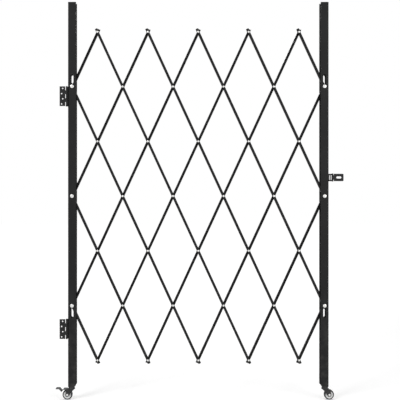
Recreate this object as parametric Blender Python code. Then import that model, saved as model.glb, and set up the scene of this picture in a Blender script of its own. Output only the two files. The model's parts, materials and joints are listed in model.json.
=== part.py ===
"""Folding security gate: two channel posts joined by a riveted lattice of crossing bars.

Metres, +Z up. The hinge axis meets the floor at the origin. +X runs from the hinge
post to the lock post, and the front of the gate faces -Y. The gate stands open.
"""
import math

import bmesh
import bpy
from mathutils import Matrix, Vector

# Whole gate
GATE_HEIGHT = 1.803
COLUMNS = 10
LEVELS = 6
MIDDLE_LEVEL = 3
OPEN_ANGLE = math.radians(24.72)
FOLDED_ANGLE = math.radians(5)
MIDDLE_PIVOT_DROP = 0.0085
FOLDED_TOP_MARGIN = 0.0456

# Fits and cutting tools
TOUCH_GAP = 0.0003
PIVOT_PLAY = 0.0006
CUT_OVERRUN = 0.002

# Posts, bent from sheet into a channel that is open towards the lattice
POST_WIDTH = 0.0365
POST_DEPTH = 0.030
POST_SHEET = 0.0015
POST_BEND = 0.003
POST_SIDE_CLEARANCE = 0.0005
FOOT_CORNER_WIDTH = 0.0075
FOOT_CORNER_HEIGHT = 0.0085

# Lattice bars, small channels whose open sides face each other
BAR_WIDTH = 0.0118
BAR_DEPTH = 0.008
BAR_SHEET = 0.0012
BAR_BEND = 0.002
BAR_OVERHANG = 0.016
LAYER_GAP = 0.0006

# Lattice rivets
RIVET_RADIUS = 0.0025
RIVET_HEAD_RADIUS = 0.0045
RIVET_HEAD_HEIGHT = 0.002

# Pivots in the posts
COLLAR_RADIUS = 0.0062
COLLAR_PLAY = 0.0003
PIVOT_HEAD_RADIUS = 0.0082
PIVOT_HEAD_HEIGHT = 0.0024
BUSH_FLANGE = 0.0012

# Wall hinges
PIN_RADIUS = 0.0022
LEAF_SHEET = 0.0018
LEAF_HEIGHT = 0.089
LEAF_KNUCKLES = 5
LEAF_NOTCH_GAP = 0.0018
KNUCKLE_GAP = 0.0004
WALL_LEAF_REACH = 0.0315
POST_LEAF_REACH = 0.0285
UPPER_HINGE_DROP = 0.4284
LOWER_HINGE_RISE = 0.262
PIN_HEAD_RADIUS = 0.0036
PIN_HEAD_HEIGHT = 0.0015
SCREW_HOLE_RADIUS = 0.003
SCREW_COUNT = 4
SCREW_END_MARGIN = 0.00955
SCREW_EDGE_NEAR = 0.0093
SCREW_EDGE_FAR = 0.014
LEAF_RIVET_RADIUS = 0.002
LEAF_RIVET_HEAD_RADIUS = 0.0038
LEAF_RIVET_HEAD_HEIGHT = 0.0012
LEAF_RIVET_NEAR = 0.0125
LEAF_RIVET_FAR = 0.021

# Hasp on the lock post
HASP_RISE = 0.084
HASP_HEIGHT = 0.0335
HASP_KNUCKLE_HEIGHT = 0.021
HASP_BRACKET_NOTCH_GAP = 0.0022
HASP_PLATE_NOTCH_GAP = 0.0009
HASP_WINDOW_WIDTH = 0.0041
HASP_WINDOW_HEIGHT = 0.020
HASP_BRACKET_REACH = 0.0150
HASP_BRACKET_LEG = 0.0285
HASP_PLATE_REACH = 0.0493
HASP_SLOT_START = 0.0167
HASP_SLOT_LENGTH = 0.0228
HASP_SLOT_WIDTH = 0.0095
HASP_CORNER = 0.004
HASP_RIVET_PITCH = 0.02

# Casters
WHEEL_RADIUS = 0.0225
TREAD_WIDTH = 0.018
TYRE_DEPTH = 0.0054
TYRE_ROUND = 0.0035
HUB_RIM = 0.002
HUB_WEB = 0.0135
HUB_BOSS_RADIUS = 0.0065
AXLE_RADIUS = 0.003
AXLE_HEAD_RADIUS = 0.005
AXLE_HEAD_HEIGHT = 0.0018
TRAIL = 0.01845
FORK_SHEET = 0.002
FORK_SIDE_GAP = 0.0012
FORK_EYE_RADIUS = 0.0085
CROWN_CLEARANCE = 0.0015
CROWN_BACK = 0.01825
CROWN_FRONT = 0.0115
CHEEK_SHOULDER = 0.004
CHEEK_FRONT_INSET = 0.00475
CHEEK_BACK_FLARE = 0.0055
RACE_RADIUS = 0.0155
RACE_TOP_RADIUS = 0.0135
RACE_HEIGHT = 0.006
SEAT_RADIUS = 0.0142
SEAT_HEIGHT = 0.0042
FOOT_PLATE_DEPTH = 0.028
FOOT_PLATE_SHEET = 0.0025
FOOT_PLATE_CORNER = 0.004
KINGPIN_RADIUS = 0.004
KINGPIN_HEAD_RADIUS = 0.0068
KINGPIN_HEAD_HEIGHT = 0.0025

# Brake pedal on the left caster
PEDAL_SHEET = 0.0018
PEDAL_PIN_RADIUS = 0.0022
PEDAL_PIN_BACK = 0.01075
PEDAL_PIN_DROP = 0.0055
PEDAL_EAR_RADIUS = 0.0045
PEDAL_EAR_LEAN = 20
PEDAL_RISE = 0.003
PEDAL_START = 0.010
PEDAL_FLAT = 0.0145
PEDAL_DIP_BACK = 0.009
PEDAL_DIP_DEPTH = 0.010
PEDAL_TIP_RISE = 0.0022
PEDAL_TIP_LENGTH = 0.0155

# Facets of round shapes
HOLE_SEGMENTS = 8
RIVET_SEGMENTS = 8
PIVOT_SEGMENTS = 14
SCREW_SEGMENTS = 12
SWIVEL_SEGMENTS = 20
WHEEL_SEGMENTS = 28
BEND_STEPS = 2
DOME_STEPS = 2
CORNER_STEPS = 3
SLOT_STEPS = 8
KNUCKLE_STEPS = 10
KNUCKLE_TURN = 300
EYE_STEPS = 8
SMOOTH_ANGLE = math.radians(35)

# Hinge barrel and the posts' places
BARREL_BORE = PIN_RADIUS + TOUCH_GAP
BARREL_RADIUS = BARREL_BORE + LEAF_SHEET
PIVOT_X = BARREL_RADIUS + TOUCH_GAP + POST_WIDTH / 2
MIDDLE_Y = BARREL_RADIUS + POST_SIDE_CLEARANCE + POST_DEPTH / 2

# Heights in a caster, from the floor up to the post
CROWN_UNDERSIDE = 2 * WHEEL_RADIUS + CROWN_CLEARANCE
CROWN_TOP = CROWN_UNDERSIDE + FORK_SHEET
RACE_TOP = CROWN_TOP + RACE_HEIGHT
FOOT_PLATE_BOTTOM = RACE_TOP + TOUCH_GAP + SEAT_HEIGHT
FOOT_PLATE_TOP = FOOT_PLATE_BOTTOM + FOOT_PLATE_SHEET
POST_BOTTOM = FOOT_PLATE_TOP + TOUCH_GAP

# A caster sits under what the cut corner leaves of its post's foot, so a little to the outside
FOOT_PLATE_WIDTH = POST_WIDTH - FOOT_CORNER_WIDTH
CASTER_OFFSET = FOOT_CORNER_WIDTH / 2

# Lattice: the folded bars have to stay below the top of the posts
MIDDLE_HEIGHT = (POST_BOTTOM + GATE_HEIGHT) / 2 - MIDDLE_PIVOT_DROP
FOLDED_RISE = GATE_HEIGHT - MIDDLE_HEIGHT - FOLDED_TOP_MARGIN - BAR_OVERHANG
LINK_PITCH = FOLDED_RISE / (MIDDLE_LEVEL * math.cos(FOLDED_ANGLE))
LOCK_PIVOT_X = PIVOT_X + COLUMNS * LINK_PITCH * math.sin(OPEN_ANGLE)

# Layers across the gate, measured from its middle plane
BAR_FACE = LAYER_GAP / 2 + BAR_DEPTH
FLANGE_FACE = POST_DEPTH / 2

# Heights of the hinges and the hasp
UPPER_HINGE_HEIGHT = GATE_HEIGHT - UPPER_HINGE_DROP
LOWER_HINGE_HEIGHT = POST_BOTTOM + LOWER_HINGE_RISE
HASP_HEIGHT_ABOVE_FLOOR = MIDDLE_HEIGHT + HASP_RISE

# A turned shape's axis is its local Z: these lay it along Y or X
ALONG_Y = Matrix.Rotation(math.radians(-90), 4, "X")
ALONG_X = Matrix.Rotation(math.radians(90), 4, "Y")

# A flat outline is drawn in X and Y. This lays it in X and Z, to be extruded along Y
OUTLINE_ACROSS_Y = Matrix(((1, 0, 0, 0), (0, 0, 1, 0), (0, 1, 0, 0), (0, 0, 0, 1)))
# And this lays it in Y and Z, to be extruded along X
OUTLINE_ACROSS_X = Matrix(((0, 0, 1, 0), (1, 0, 0, 0), (0, 1, 0, 0), (0, 0, 0, 1)))

# The lattice column at which each bar's own joint lies
FRONT_JOINT_COLUMNS = (0, 0, 4, 5, 6, 7, 8, 9)
BACK_JOINT_COLUMNS = (0, 0, 1, 2, 3, 9, 10, 10)

# The front bars whose post pivots slide, and where
SLIDING_CORNERS = {1: "lower_left", 3: "upper_left", 6: "lower_right", 8: "upper_right"}


def clear_scene():
    """Remove what a new file starts with."""
    for thing in list(bpy.data.objects):
        bpy.data.objects.remove(thing, do_unlink=True)


def paint(name, colour, roughness, metallic):
    """One plain material."""
    material = bpy.data.materials.new(name)
    material.use_nodes = True
    shader = material.node_tree.nodes["Principled BSDF"]
    shader.inputs["Base Color"].default_value = (*colour, 1)
    shader.inputs["Roughness"].default_value = roughness
    shader.inputs["Metallic"].default_value = metallic
    material.diffuse_color = (*colour, 1)
    return material


def axis(name, x, y, z, turn_share=0):
    """An empty on a joint's axis. turn_share is its turn about Z, as a share of half a turn."""
    empty = bpy.data.objects.new(name, None)
    empty.location = (x, y, z)
    empty.rotation_euler = (0, 0, math.pi * turn_share)
    bpy.context.collection.objects.link(empty)
    return empty


def mesh_from(name, shape, material):
    """Turn a bmesh into a mesh whose faces point out."""
    bmesh.ops.recalc_face_normals(shape, faces=shape.faces)
    mesh = bpy.data.meshes.new(name)
    shape.to_mesh(mesh)
    shape.free()
    mesh.materials.append(material)
    return mesh


def shade(mesh):
    """Smooth curved faces and keep the edges between flat ones."""
    mesh.shade_smooth()
    mesh.set_sharp_from_angle(angle=SMOOTH_ANGLE)


def add(name, shape, material, parent=None, location=(0, 0, 0), rotation=(0, 0, 0)):
    """Make a named object from a bmesh."""
    mesh = mesh_from(name, shape, material)
    shade(mesh)
    thing = bpy.data.objects.new(name, mesh)
    thing.parent = parent
    thing.location = location
    thing.rotation_euler = rotation
    bpy.context.collection.objects.link(thing)
    return thing


def combine(thing, tool_shape, operation, material):
    """Cut, join or intersect an object with a tool in the object's own frame."""
    tool = bpy.data.objects.new("tool", mesh_from("tool", tool_shape, material))
    tool.parent = thing
    bpy.context.collection.objects.link(tool)
    modifier = thing.modifiers.new(operation.title(), "BOOLEAN")
    modifier.operation = operation
    modifier.solver = "EXACT"
    modifier.object = tool
    evaluated = thing.evaluated_get(bpy.context.evaluated_depsgraph_get())
    plain = thing.data
    thing.data = bpy.data.meshes.new_from_object(evaluated)
    thing.data.name = plain.name
    thing.modifiers.remove(modifier)
    shade(thing.data)
    bpy.data.objects.remove(tool, do_unlink=True)
    bpy.data.meshes.remove(plain)


def arc(centre_x, centre_y, radius, start, stop, steps):
    """Points along an arc, with its angles in degrees."""
    points = []
    for step in range(steps + 1):
        angle = math.radians(start + (stop - start) * step / steps)
        points.append((centre_x + radius * math.cos(angle), centre_y + radius * math.sin(angle)))
    return points


def dome(radius, height, base, direction):
    """Half section of a rivet head, from its crown to its rim."""
    points = []
    for step in range(DOME_STEPS + 1):
        angle = math.pi / 2 * step / DOME_STEPS
        share = 0 if step == 0 else math.sin(angle)
        points.append((radius * share, base + direction * height * math.cos(angle)))
    return points


def turn(shape, profile, segments, place=Matrix(), ring=False):
    """Turn a profile of (radius, height) points about local Z. A ring's profile closes on itself."""
    loops = []
    for radius, height in profile:
        if radius == 0:
            loops.append([shape.verts.new(place @ Vector((0, 0, height)))])
            continue
        loop = []
        for index in range(segments):
            angle = 2 * math.pi * index / segments
            point = Vector((radius * math.cos(angle), radius * math.sin(angle), height))
            loop.append(shape.verts.new(place @ point))
        loops.append(loop)
    pairs = list(zip(loops, loops[1:]))
    if ring:
        pairs.append((loops[-1], loops[0]))
    for first, second in pairs:
        for index in range(segments):
            after = (index + 1) % segments
            corners = (first[index % len(first)], first[after % len(first)],
                       second[after % len(second)], second[index % len(second)])
            shape.faces.new(dict.fromkeys(corners))


def cylinder(shape, radius, low, high, segments, place=Matrix()):
    """A plain round bar along local Z."""
    turn(shape, [(0, low), (radius, low), (radius, high), (0, high)], segments, place)


def extrude(shape, outline, low, high, place=Matrix()):
    """Extrude a flat outline along local Z."""
    bottom = [shape.verts.new(place @ Vector((x, y, low))) for x, y in outline]
    top = [shape.verts.new(place @ Vector((x, y, high))) for x, y in outline]
    shape.faces.new(bottom)
    shape.faces.new(top)
    for index in range(len(outline)):
        shape.faces.new((bottom[index - 1], bottom[index], top[index], top[index - 1]))


def box(shape, low, high, place=Matrix()):
    """A block between two corners."""
    outline = [(low[0], low[1]), (high[0], low[1]), (high[0], high[1]), (low[0], high[1])]
    extrude(shape, outline, low[2], high[2], place)


def rounded_rectangle(low, high, corner):
    """Outline of a rectangle with round corners."""
    points = arc(high[0] - corner, high[1] - corner, corner, 0, 90, CORNER_STEPS)
    points += arc(low[0] + corner, high[1] - corner, corner, 90, 180, CORNER_STEPS)
    points += arc(low[0] + corner, low[1] + corner, corner, 180, 270, CORNER_STEPS)
    points += arc(high[0] - corner, low[1] + corner, corner, 270, 360, CORNER_STEPS)
    return points


def slot_outline(across, low, high, radius):
    """Outline of a slot with round ends, long in its second direction."""
    points = arc(across, high, radius, 0, 180, SLOT_STEPS)
    points += arc(across, low, radius, 180, 360, SLOT_STEPS)
    return points


def channel_outline(width, depth, sheet, bend):
    """Section of a bent channel: its web lies along X at zero and it opens towards +Y."""
    half = width / 2
    points = [(-half, depth)]
    points += arc(bend - half, bend, bend, 180, 270, BEND_STEPS)
    points += arc(half - bend, bend, bend, 270, 360, BEND_STEPS)
    points += [(half, depth), (half - sheet, depth)]
    points += arc(half - bend, bend, bend - sheet, 360, 270, BEND_STEPS)
    points += arc(bend - half, bend, bend - sheet, 270, 180, BEND_STEPS)
    points.append((sheet - half, depth))
    return points


def section_frame(along, side):
    """Lay a section so that its first direction points along and its second to the side."""
    return Matrix(((along[0], side[0], 0, 0), (along[1], side[1], 0, 0), (0, 0, 1, 0), (0, 0, 0, 1)))


def level_height(level, angle):
    """Height of a lattice level when the bars lean by the angle."""
    return MIDDLE_HEIGHT + (MIDDLE_LEVEL - level) * LINK_PITCH * math.cos(angle)


def column_place(column):
    """X of a lattice column of the open gate."""
    return PIVOT_X + column * LINK_PITCH * math.sin(OPEN_ANGLE)


def front_crossings(number):
    """Columns and levels that a front bar passes, from its top end down. Bar 1 is the lowest."""
    offset = 2 * number - 1 - LEVELS
    return [(column, column - offset) for column in range(COLUMNS + 1) if 0 <= column - offset <= LEVELS]


def back_crossings(number):
    """Columns and levels that a back bar passes, from its top end down. Bar 1 is the highest."""
    total = 2 * number - 1
    columns = range(COLUMNS, -1, -1)
    return [(column, total - column) for column in columns if 0 <= total - column <= LEVELS]


def along_bar(crossings, joint_column):
    """Places of a bar's crossings along it, measured upwards from its joint."""
    joint_level = dict(crossings)[joint_column]
    return [(joint_level - level) * LINK_PITCH for column, level in crossings]


def bar_shape(places):
    """A bar's channel, web to the front."""
    shape = bmesh.new()
    outline = channel_outline(BAR_WIDTH, BAR_DEPTH, BAR_SHEET, BAR_BEND)
    forward = Matrix.Translation((0, -BAR_FACE, 0))
    extrude(shape, outline, min(places) - BAR_OVERHANG, max(places) + BAR_OVERHANG, forward)
    return shape


def bar_holes(places):
    """Tools for the rivet holes in a bar's web."""
    shape = bmesh.new()
    for place in places:
        at = Matrix.Translation((0, 0, place)) @ ALONG_Y
        low = -BAR_FACE - CUT_OVERRUN
        high = BAR_SHEET + CUT_OVERRUN - BAR_FACE
        cylinder(shape, RIVET_RADIUS + PIVOT_PLAY, low, high, HOLE_SEGMENTS, at)
    return shape


def bar(name, places, hole_places, joint, half_turn_share, material):
    """One bar. A back bar is a front bar turned half round about an upright line."""
    column, level = joint
    location = (column_place(column), MIDDLE_Y, level_height(level, OPEN_ANGLE))
    rotation = (0, -OPEN_ANGLE, math.pi * half_turn_share)
    thing = add(name, bar_shape(places), material, None, location, rotation)
    if hole_places:
        combine(thing, bar_holes(hole_places), "DIFFERENCE", material)
    return thing


def lattice_rivet_profile():
    """Half section of a lattice rivet, sunk into its front bar's web and free in the back bar."""
    root = BAR_SHEET / 2 - BAR_FACE
    tail = BAR_FACE + TOUCH_GAP
    profile = dome(RIVET_HEAD_RADIUS, RIVET_HEAD_HEIGHT, -BAR_FACE, -1)
    profile += [(RIVET_HEAD_RADIUS, root), (RIVET_RADIUS, root), (RIVET_RADIUS, tail)]
    return profile + dome(RIVET_HEAD_RADIUS, RIVET_HEAD_HEIGHT, tail, 1)[::-1]


def lattice_rivets(places):
    """Tools for the rivets set in a front bar, one at each crossing between the posts."""
    shape = bmesh.new()
    for place in places:
        at = Matrix.Translation((0, 0, place)) @ ALONG_Y
        turn(shape, lattice_rivet_profile(), RIVET_SEGMENTS, at)
    return shape


def pivot_front(profile_end):
    """Half section of a post pivot's front: head, collar in the front flange, and the step down."""
    seat = FLANGE_FACE + TOUCH_GAP
    profile = dome(PIVOT_HEAD_RADIUS, PIVOT_HEAD_HEIGHT, -seat, -1)
    profile += [(COLLAR_RADIUS, -seat), (COLLAR_RADIUS, -BAR_FACE - TOUCH_GAP)]
    profile += [(RIVET_RADIUS, -BAR_FACE - TOUCH_GAP)]
    return profile + profile_end


def slide_pivot(name, front_bar, place, material):
    """A stepped rivet whose collar runs in a post's slot."""
    tail = FLANGE_FACE + 2 * TOUCH_GAP + BUSH_FLANGE
    head = dome(RIVET_HEAD_RADIUS, RIVET_HEAD_HEIGHT, tail, 1)[::-1]
    profile = pivot_front([(RIVET_RADIUS, tail)] + head)
    shape = bmesh.new()
    turn(shape, profile, PIVOT_SEGMENTS, Matrix.Translation((0, 0, place)) @ ALONG_Y)
    add(name, shape, material, front_bar)


def slide_bush(name, front_bar, place, material):
    """The flanged bush on a slide pivot's back end, which runs in the back flange's slot."""
    bore = RIVET_RADIUS + TOUCH_GAP
    seat = FLANGE_FACE + TOUCH_GAP
    nose = BAR_FACE + TOUCH_GAP
    profile = [(bore, nose), (COLLAR_RADIUS, nose), (COLLAR_RADIUS, seat), (PIVOT_HEAD_RADIUS, seat)]
    profile += [(PIVOT_HEAD_RADIUS, seat + BUSH_FLANGE), (bore, seat + BUSH_FLANGE)]
    shape = bmesh.new()
    turn(shape, profile, PIVOT_SEGMENTS, Matrix.Translation((0, 0, place)) @ ALONG_Y, ring=True)
    add(name, shape, material, front_bar)


def middle_pivot(name, parent, location, material):
    """The fixed stepped rivet at a post's middle."""
    seat = FLANGE_FACE + TOUCH_GAP
    head = dome(RIVET_HEAD_RADIUS, RIVET_HEAD_HEIGHT, seat, 1)[::-1]
    profile = pivot_front([(RIVET_RADIUS, seat)] + head)
    shape = bmesh.new()
    turn(shape, profile, PIVOT_SEGMENTS, ALONG_Y)
    add(name, shape, material, parent, location)


def front_bar(number, joint_column, bar_paint, pivot_metal):
    """One front bar, with the rivets set in it and any pivot that slides in a post."""
    crossings = front_crossings(number)
    places = along_bar(crossings, joint_column)
    at_posts = [place for place, (column, level) in zip(places, crossings) if column in (0, COLUMNS)]
    between = [place for place in places if place not in at_posts]
    joint = (joint_column, dict(crossings)[joint_column])
    thing = bar(f"front_bar_{number}", places, at_posts, joint, 0, bar_paint)
    combine(thing, lattice_rivets(between), "UNION", bar_paint)
    if number in SLIDING_CORNERS:
        corner = SLIDING_CORNERS[number]
        slide_pivot(f"{corner}_slide_pivot", thing, at_posts[0], pivot_metal)
        slide_bush(f"{corner}_slide_bush", thing, at_posts[0], pivot_metal)


def back_bar(number, joint_column, bar_paint):
    """One back bar, drilled at every crossing."""
    crossings = back_crossings(number)
    places = along_bar(crossings, joint_column)
    joint = (joint_column, dict(crossings)[joint_column])
    bar(f"back_bar_{number}", places, places, joint, 1, bar_paint)


def post_openings(inward, web_rivets):
    """Tools for a post's slots, pivot holes, web rivet holes and cut corner."""
    shape = bmesh.new()
    front = -FLANGE_FACE - CUT_OVERRUN
    back = FLANGE_FACE + CUT_OVERRUN
    radius = COLLAR_RADIUS + COLLAR_PLAY
    for level in (MIDDLE_LEVEL - 2, MIDDLE_LEVEL + 2):
        heights = sorted((level_height(level, OPEN_ANGLE), level_height(level, FOLDED_ANGLE)))
        extrude(shape, slot_outline(0, heights[0], heights[1], radius), front, back, OUTLINE_ACROSS_Y)
    at_middle = Matrix.Translation((0, 0, MIDDLE_HEIGHT)) @ ALONG_Y
    cylinder(shape, radius, front, 0, PIVOT_SEGMENTS, at_middle)
    cylinder(shape, RIVET_RADIUS + PIVOT_PLAY, CUT_OVERRUN, back, PIVOT_SEGMENTS, at_middle)
    web = -inward * POST_WIDTH / 2
    for y, z in web_rivets:
        at = Matrix.Translation((web, y, z)) @ ALONG_X
        reach = POST_SHEET + CUT_OVERRUN
        cylinder(shape, LEAF_RIVET_RADIUS + TOUCH_GAP, -reach, reach, HOLE_SEGMENTS, at)
    edge = inward * (POST_WIDTH / 2 + CUT_OVERRUN)
    cut = inward * (FOOT_CORNER_WIDTH + CUT_OVERRUN)
    bottom = POST_BOTTOM - CUT_OVERRUN
    rise = (FOOT_CORNER_WIDTH + CUT_OVERRUN) * FOOT_CORNER_HEIGHT / FOOT_CORNER_WIDTH
    extrude(shape, [(edge - cut, bottom), (edge, bottom), (edge, bottom + rise)], front, back,
            OUTLINE_ACROSS_Y)
    return shape


def post(name, inward, web_rivets, parent, location, material):
    """A channel post. inward is the way along X that it opens: 1 or -1."""
    shape = bmesh.new()
    outline = channel_outline(POST_DEPTH, POST_WIDTH, POST_SHEET, POST_BEND)
    frame = Matrix.Translation((-inward * POST_WIDTH / 2, 0, 0)) @ section_frame((0, 1), (inward, 0))
    extrude(shape, outline, POST_BOTTOM, GATE_HEIGHT, frame)
    thing = add(name, shape, material, parent, location)
    combine(thing, post_openings(inward, web_rivets), "DIFFERENCE", material)


def screw_places(near, far):
    """Staggered places on a hinge leaf: distance from one side, and height from the leaf's middle."""
    places = []
    pitch = (LEAF_HEIGHT - 2 * SCREW_END_MARGIN) / (SCREW_COUNT - 1)
    for index in range(SCREW_COUNT):
        height = LEAF_HEIGHT / 2 - SCREW_END_MARGIN - index * pitch
        places.append((far if index % 2 == 0 else near, height))
    return places


def leaf_outline(reach):
    """Section of a rolled leaf: a plate out to its reach, curled about the pin at zero."""
    outer = arc(0, 0, BARREL_RADIUS, 90, 90 + KNUCKLE_TURN, KNUCKLE_STEPS)
    inner = arc(0, 0, BARREL_BORE, 90 + KNUCKLE_TURN, 90, KNUCKLE_STEPS)
    return [(reach, BARREL_RADIUS)] + outer + inner + [(reach, BARREL_BORE)]


def leaf_notches(shape, zones, depth, side, frame):
    """Tools that cut a leaf back where the other leaf's knuckles lie. Zones are heights low to high."""
    past = BARREL_RADIUS + CUT_OVERRUN
    for low, high in zones:
        box(shape, (-past, -past, low), (depth, side, high), frame)


def leaf_holes(shape, places, radius, segments, frame):
    """Tools for round holes through a leaf's plate."""
    for along, height in places:
        at = frame @ Matrix.Translation((along, 0, height)) @ ALONG_Y
        cylinder(shape, radius, BARREL_BORE - CUT_OVERRUN, BARREL_RADIUS + CUT_OVERRUN, segments, at)


def hinge_zones(first):
    """Heights of every second knuckle of a wall hinge, with the gap between knuckles."""
    step = LEAF_HEIGHT / LEAF_KNUCKLES
    zones = []
    for index in range(first, LEAF_KNUCKLES, 2):
        low = -LEAF_HEIGHT / 2 + index * step - KNUCKLE_GAP / 2
        high = low + step + KNUCKLE_GAP
        if index == 0:
            low -= CUT_OVERRUN
        if index == LEAF_KNUCKLES - 1:
            high += CUT_OVERRUN
        zones.append((low, high))
    return zones


def wall_leaf(name, height, material):
    """The hinge leaf that is screwed to the wall. It carries the second and fourth knuckles."""
    frame = section_frame((-1, 0), (0, -1))
    shape = bmesh.new()
    extrude(shape, leaf_outline(WALL_LEAF_REACH), -LEAF_HEIGHT / 2, LEAF_HEIGHT / 2, frame)
    leaf = add(name, shape, material, None, (0, 0, height))
    tool = bmesh.new()
    past = BARREL_RADIUS + CUT_OVERRUN
    leaf_notches(tool, hinge_zones(0), BARREL_RADIUS + LEAF_NOTCH_GAP, past, frame)
    screws = screw_places(WALL_LEAF_REACH - SCREW_EDGE_NEAR, WALL_LEAF_REACH - SCREW_EDGE_FAR)
    leaf_holes(tool, screws, SCREW_HOLE_RADIUS, SCREW_SEGMENTS, frame)
    combine(leaf, tool, "DIFFERENCE", material)


def post_leaf(name, parent, height, material):
    """The hinge leaf on the post's web. It carries the first, third and fifth knuckles."""
    frame = section_frame((0, 1), (1, 0))
    shape = bmesh.new()
    extrude(shape, leaf_outline(POST_LEAF_REACH), -LEAF_HEIGHT / 2, LEAF_HEIGHT / 2, frame)
    leaf = add(name, shape, material, parent, (0, 0, height))
    tool = bmesh.new()
    past = BARREL_RADIUS + CUT_OVERRUN
    leaf_notches(tool, hinge_zones(1), BARREL_RADIUS + LEAF_NOTCH_GAP, past, frame)
    rivets = screw_places(LEAF_RIVET_NEAR, LEAF_RIVET_FAR)
    leaf_holes(tool, rivets, LEAF_RIVET_RADIUS + TOUCH_GAP, HOLE_SEGMENTS, frame)
    combine(leaf, tool, "DIFFERENCE", material)


def pin(name, parent, location, length, material):
    """A hinge pin with a head at each end."""
    end = length / 2 + TOUCH_GAP
    profile = dome(PIN_HEAD_RADIUS, PIN_HEAD_HEIGHT, -end, -1)
    profile += [(PIN_RADIUS, -end), (PIN_RADIUS, end)]
    profile += dome(PIN_HEAD_RADIUS, PIN_HEAD_HEIGHT, end, 1)[::-1]
    shape = bmesh.new()
    turn(shape, profile, PIVOT_SEGMENTS)
    add(name, shape, material, parent, location)


def plate_rivet(name, parent, location, inward, material):
    """A rivet through a hinge plate and a post's web. inward is its way along X: 1 or -1."""
    tail = LEAF_SHEET + TOUCH_GAP + POST_SHEET + TOUCH_GAP
    profile = dome(LEAF_RIVET_HEAD_RADIUS, LEAF_RIVET_HEAD_HEIGHT, -TOUCH_GAP, -1)
    profile += [(LEAF_RIVET_RADIUS, -TOUCH_GAP), (LEAF_RIVET_RADIUS, tail)]
    profile += dome(LEAF_RIVET_HEAD_RADIUS, LEAF_RIVET_HEAD_HEIGHT, tail, 1)[::-1]
    shape = bmesh.new()
    turn(shape, profile, RIVET_SEGMENTS)
    add(name, shape, material, parent, location, (0, inward * math.pi / 2, 0))


def hinge_rivet_places():
    """Places of the rivets that hold both post leaves: along the leaf, and height from the floor."""
    places = []
    for height in (UPPER_HINGE_HEIGHT, LOWER_HINGE_HEIGHT):
        for along, rise in screw_places(LEAF_RIVET_NEAR, LEAF_RIVET_FAR):
            places.append((along, height + rise))
    return places


def hasp_rivet_places():
    """Places of the hasp bracket's rivets: along its leg from the barrel's plane, and height."""
    along = (BARREL_RADIUS + HASP_BRACKET_LEG) / 2
    half = HASP_RIVET_PITCH / 2
    return [(along, HASP_HEIGHT_ABOVE_FLOOR - half), (along, HASP_HEIGHT_ABOVE_FLOOR + half)]


def hasp_bracket(parent, location, material):
    """The hasp's fixed bracket: a leg on the web, and two arms that end in knuckles."""
    frame = section_frame((-1, 0), (0, 1))
    rolled = leaf_outline(HASP_BRACKET_REACH)
    inside = HASP_BRACKET_REACH - LEAF_SHEET
    bend = arc(inside, BARREL_RADIUS, LEAF_SHEET, 270, 360, BEND_STEPS)
    outline = [(inside, HASP_BRACKET_LEG), (inside, BARREL_RADIUS)] + rolled[1:-1] + bend
    outline.append((HASP_BRACKET_REACH, HASP_BRACKET_LEG))
    shape = bmesh.new()
    extrude(shape, outline, -HASP_HEIGHT / 2, HASP_HEIGHT / 2, frame)
    bracket = add("hasp_bracket", shape, material, parent, location)
    tool = bmesh.new()
    half = (HASP_KNUCKLE_HEIGHT + KNUCKLE_GAP) / 2
    side = BARREL_RADIUS + TOUCH_GAP
    leaf_notches(tool, [(-half, half)], BARREL_RADIUS + HASP_BRACKET_NOTCH_GAP, side, frame)
    half = HASP_WINDOW_HEIGHT / 2
    near = (HASP_BRACKET_REACH - HASP_WINDOW_WIDTH, 0, -half)
    box(tool, near, (HASP_BRACKET_REACH + CUT_OVERRUN, side, half), frame)
    for along, height in hasp_rivet_places():
        at = frame @ Matrix.Translation((inside, along, height - HASP_HEIGHT_ABOVE_FLOOR)) @ ALONG_X
        reach = LEAF_SHEET + CUT_OVERRUN
        cylinder(tool, LEAF_RIVET_RADIUS + TOUCH_GAP, -reach, reach, HOLE_SEGMENTS, at)
    combine(bracket, tool, "DIFFERENCE", material)


def hasp_plate(location, material):
    """The swinging plate of the hasp, with its long slot."""
    frame = section_frame((1, 0), (0, -1))
    shape = bmesh.new()
    half_height = HASP_HEIGHT / 2
    extrude(shape, leaf_outline(HASP_PLATE_REACH), -half_height, half_height, frame)
    plate = add("hasp_plate", shape, material, None, location)
    tool = bmesh.new()
    half = HASP_KNUCKLE_HEIGHT / 2 - KNUCKLE_GAP / 2
    past = half_height + CUT_OVERRUN
    side = BARREL_RADIUS + CUT_OVERRUN
    depth = BARREL_RADIUS + HASP_PLATE_NOTCH_GAP
    leaf_notches(tool, [(-past, -half), (half, past)], depth, side, frame)
    through = frame @ OUTLINE_ACROSS_Y
    end_radius = HASP_SLOT_WIDTH / 2
    slot = arc(HASP_SLOT_START + end_radius, 0, end_radius, 90, 270, SLOT_STEPS)
    slot += arc(HASP_SLOT_START + HASP_SLOT_LENGTH - end_radius, 0, end_radius, -90, 90, SLOT_STEPS)
    low = BARREL_BORE - CUT_OVERRUN
    high = BARREL_RADIUS + CUT_OVERRUN
    extrude(tool, slot, low, high, through)
    centre_x = HASP_PLATE_REACH - HASP_CORNER
    centre_z = half_height - HASP_CORNER
    far = HASP_PLATE_REACH + CUT_OVERRUN
    for way in (1, -1):
        corner = arc(centre_x, way * centre_z, HASP_CORNER, 0, way * 90, CORNER_STEPS)
        outside = [(centre_x, way * past), (far, way * past), (far, way * centre_z)]
        extrude(tool, corner + outside, low, high, through)
    combine(plate, tool, "DIFFERENCE", material)


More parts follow.
